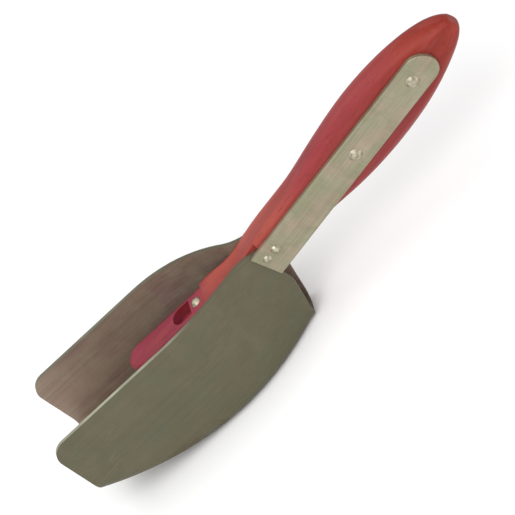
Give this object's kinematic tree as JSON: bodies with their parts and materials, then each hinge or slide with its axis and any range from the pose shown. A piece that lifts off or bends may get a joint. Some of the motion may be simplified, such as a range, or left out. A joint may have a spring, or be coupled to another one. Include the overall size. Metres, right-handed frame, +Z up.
{
  "type": "hand trowel",
  "caption": "Riveted hand trowel: deep trough blade with upright side walls, a red hardwood handle running into the blade, and flat metal straps along both sides of the grip.",
  "frame": {"origin": "on the ground under the middle of the trowel's length and width, with the blade's flat floor resting on the ground", "axes": "+X from the blade's mouth towards the butt of the handle, +Y to the user's right, +Z up"},
  "size_m": [0.3088, 0.0548, 0.0855],
  "materials": {
    "handle_wood": "red semi-gloss lacquer",
    "blade_steel": "dark olive-grey satin",
    "strap_metal": "pale brushed flat bar",
    "rivet_metal": "bright hammered"
  },
  "bodies": {
    "root": {"handle": "handle_wood", "blade": "blade_steel", "stay_bridge": "blade_steel", "left_strap": "strap_metal", "right_strap": "strap_metal", "grip_rivet_front": "rivet_metal", "grip_rivet_rear": "rivet_metal", "neck_rivet_front": "rivet_metal", "neck_rivet_rear": "rivet_metal", "tongue_rivet": "rivet_metal", "grip_burr_front": "rivet_metal", "grip_burr_rear": "rivet_metal", "neck_burr_front": "rivet_metal", "neck_burr_rear": "rivet_metal", "tongue_burr": "rivet_metal"}
  },
  "joints": []
}
